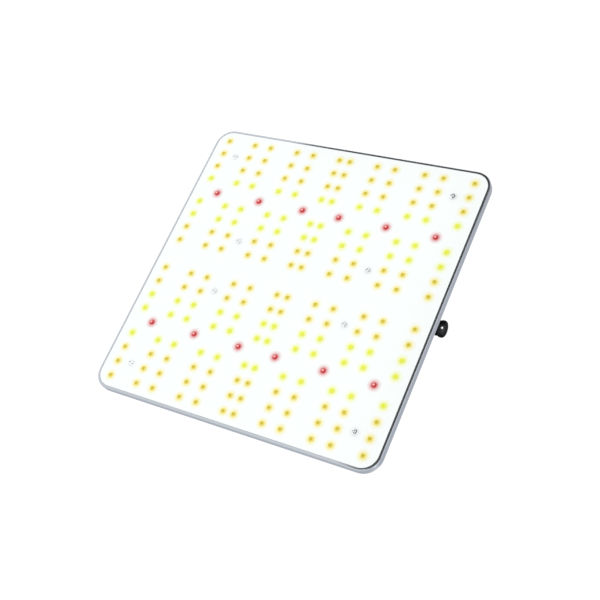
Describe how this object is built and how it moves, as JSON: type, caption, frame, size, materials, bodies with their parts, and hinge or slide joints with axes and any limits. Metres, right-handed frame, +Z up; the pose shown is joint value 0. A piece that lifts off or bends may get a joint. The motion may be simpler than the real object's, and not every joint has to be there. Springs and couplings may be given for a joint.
{
  "type": "led grow light",
  "caption": "Square hanging LED grow light panel: white LED board in a silver tray, finned back, driver case with a dimmer knob, mains inlet and four hanging rings.",
  "frame": {"origin": "middle of the four hanging rings, at the height of their pivots", "axes": "+Z up when hung, with the LEDs facing -Z; +X towards the dimmer knob; -X towards the mains inlet"},
  "size_m": [0.3013, 0.3, 0.0398],
  "materials": {
    "tray_aluminium": "satin silver anodised",
    "fin_aluminium": "satin, as extruded",
    "white_board": "smooth white solder mask on an aluminium board",
    "grey_pad": "soft silicone heat pad",
    "black_case": "black anodised extrusion, satin",
    "black_cap": "black powder coat, fine",
    "black_rubber": "matt",
    "bright_steel": "bright plated",
    "zinc_steel": "zinc plated",
    "ring_steel": "nickel plated",
    "led_case_white": "white moulded",
    "warm_phosphor": "yellow-orange phosphor gel",
    "cool_phosphor": "yellow phosphor gel",
    "red_base": "reddish ceramic base",
    "red_lens": "clear red silicone lens",
    "knob_black": "satin black moulded",
    "marker_white": "white inlay",
    "dark_steel": "black oxide",
    "shaft_alloy": "turned",
    "pot_body": "pressed can",
    "inlet_black": "moulded",
    "pin_brass": "nickel-plated brass",
    "circuit_green": "green solder mask",
    "terminal_plastic": "cream moulded",
    "capacitor_sleeve": "shrink sleeve",
    "choke_winding": "enamelled copper",
    "film_yellow": "moulded box",
    "ferrite": "matt ferrite",
    "coil_tape": "polyester tape",
    "chip_black": "moulded epoxy",
    "bar_aluminium": "mill",
    "fuse_glass": "clear",
    "lead_red_black": "insulated lead",
    "lead_mains": "insulated lead",
    "lead_dimmer": "insulated lead"
  },
  "bodies": {
    "fixture": {"board_terminals": "terminal_plastic", "bulk_capacitors": "capacitor_sleeve", "case_seal": "black_rubber", "control_chips": "chip_black", "cool_white_led_cases": "led_case_white", "cool_white_phosphors": "cool_phosphor", "corner_screws": "bright_steel", "dimmer_end_cap": "black_cap", "dimmer_leads": "lead_dimmer", "driver_board": "circuit_green", "driver_case": "black_case", "driver_screws": "bright_steel", "end_cap_screws": "bright_steel", "end_cap_seals": "black_rubber", "film_capacitors": "film_yellow", "filter_choke": "choke_winding", "fin_block_screws": "bright_steel", "fuse": "fuse_glass", "hanger_strap_back_left": "zinc_steel", "hanger_strap_back_right": "zinc_steel", "hanger_strap_front_left": "zinc_steel", "hanger_strap_front_right": "zinc_steel", "heat_sink_tray": "tray_aluminium", "inlet_end_cap": "black_cap", "inlet_nuts": "zinc_steel", "inlet_pins": "pin_brass", "inlet_screws": "bright_steel", "inner_fin_block_back": "fin_aluminium", "inner_fin_block_front": "fin_aluminium", "led_board": "white_board", "led_board_socket": "terminal_plastic", "led_lead_plug": "terminal_plastic", "led_leads": "lead_red_black", "mains_inlet": "inlet_black", "mains_leads": "lead_mains", "outer_fin_block_back": "fin_aluminium", "outer_fin_block_front": "fin_aluminium", "output_capacitors": "capacitor_sleeve", "potentiometer": "pot_body", "potentiometer_nut": "shaft_alloy", "power_devices": "chip_black", "red_led_bases": "red_base", "red_led_lenses": "red_lens", "spreader_bar": "bar_aluminium", "strap_nuts": "zinc_steel", "strap_rivets": "zinc_steel", "thermal_pad": "grey_pad", "transformer_coil": "coil_tape", "transformer_core": "ferrite", "warm_white_led_cases": "led_case_white", "warm_white_phosphors": "warm_phosphor"},
    "dimmer": {"dimmer_knob": "knob_black", "knob_marker": "marker_white", "knob_grub_screw": "dark_steel", "dimmer_shaft": "shaft_alloy"},
    "ring_back_left": {"hanging_ring_back_left": "ring_steel"},
    "ring_back_right": {"hanging_ring_back_right": "ring_steel"},
    "ring_front_left": {"hanging_ring_front_left": "ring_steel"},
    "ring_front_right": {"hanging_ring_front_right": "ring_steel"}
  },
  "joints": [
    {"name": "dimmer_turn", "type": "hinge", "parent": "fixture", "child": "dimmer", "pos_m": [0.13, 0, 0.0125], "axis": [1, 0, 0], "range_deg": [0, 300]},
    {"name": "ring_back_left_swing", "type": "hinge", "parent": "fixture", "child": "ring_back_left", "pos_m": [-0.1193, 0.1073, 0], "axis": [-1, 0, 0], "range_deg": [0, 170]},
    {"name": "ring_back_right_swing", "type": "hinge", "parent": "fixture", "child": "ring_back_right", "pos_m": [0.1193, 0.1073, 0], "axis": [-1, 0, 0], "range_deg": [0, 170]},
    {"name": "ring_front_left_swing", "type": "hinge", "parent": "fixture", "child": "ring_front_left", "pos_m": [-0.1193, -0.1073, 0], "axis": [1, 0, 0], "range_deg": [0, 170]},
    {"name": "ring_front_right_swing", "type": "hinge", "parent": "fixture", "child": "ring_front_right", "pos_m": [0.1193, -0.1073, 0], "axis": [1, 0, 0], "range_deg": [0, 170]}
  ]
}
